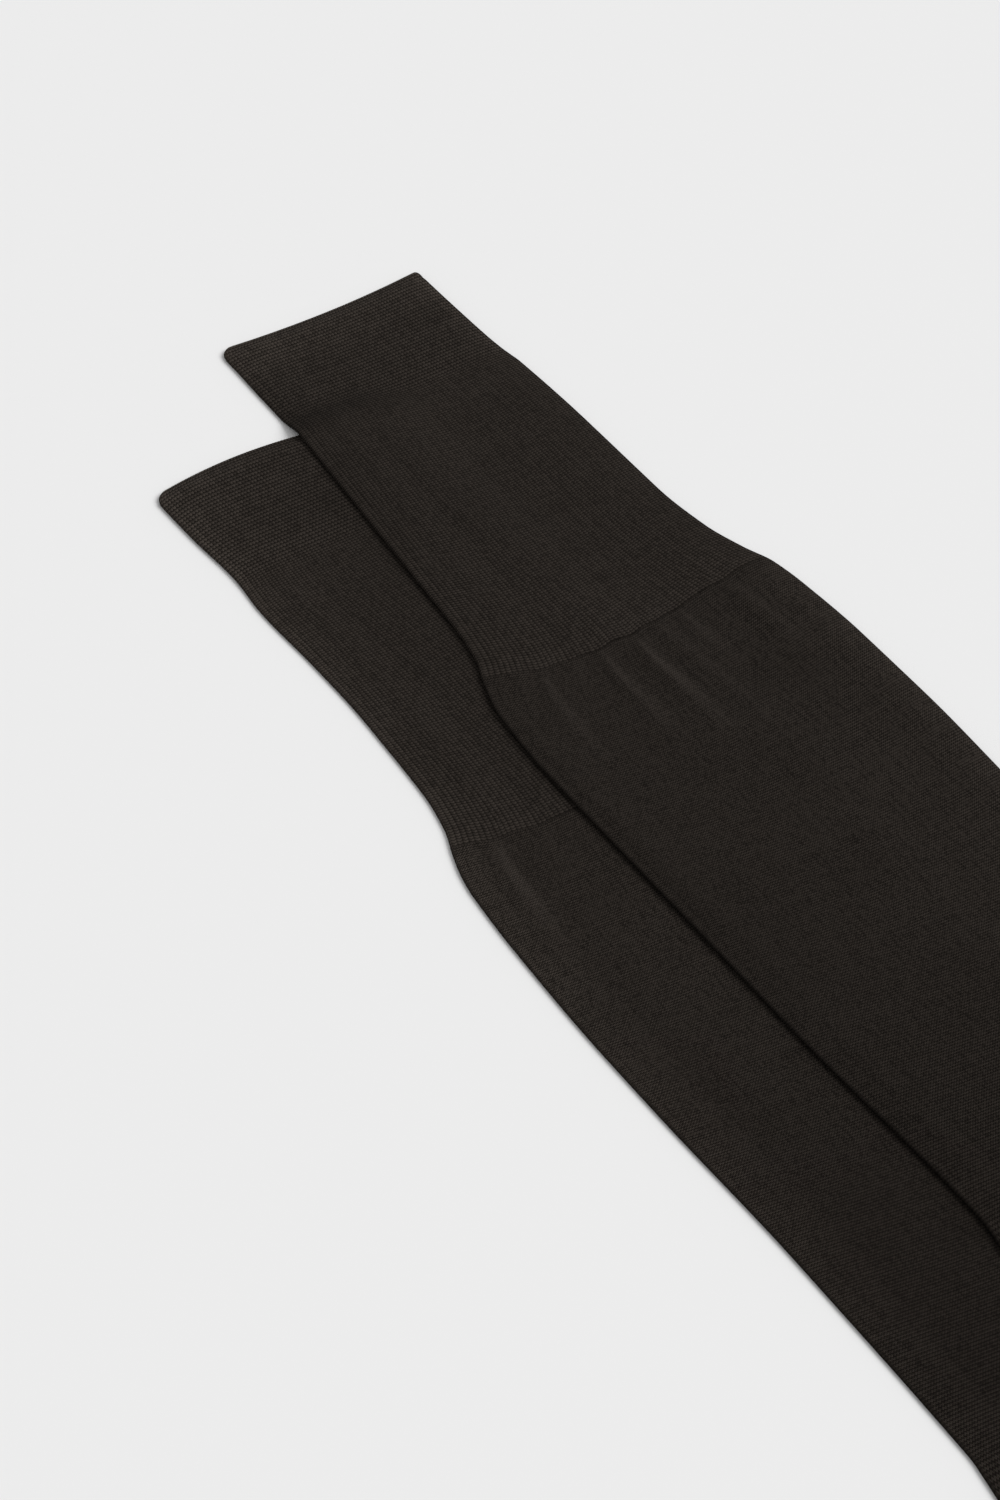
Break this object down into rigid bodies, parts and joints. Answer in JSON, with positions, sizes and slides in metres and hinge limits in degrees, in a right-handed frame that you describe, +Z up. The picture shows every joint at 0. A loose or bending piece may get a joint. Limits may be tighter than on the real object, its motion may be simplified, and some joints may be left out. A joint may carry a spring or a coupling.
{
  "type": "pair of over-the-calf socks",
  "caption": "Pair of long fine-knit dress socks laid flat, one partly over the other, each an open-ended tube with a welt, ribbed top, plain leg, heel and toe.",
  "frame": {"origin": "on the surface the socks lie on, under the middle of the pair's box", "axes": "+Z up from the surface; +Y along the legs from the feet to the open ends; +X from the calf side to the shin side, the way the feet point"},
  "size_m": [0.262, 0.5492, 0.0061],
  "materials": {
    "knit": "very dark brown fine knit, soft and matt, with a faint sheen along the raised stitches"
  },
  "bodies": {
    "root": {"sock_lower": "knit", "sock_upper": "knit"}
  },
  "joints": []
}
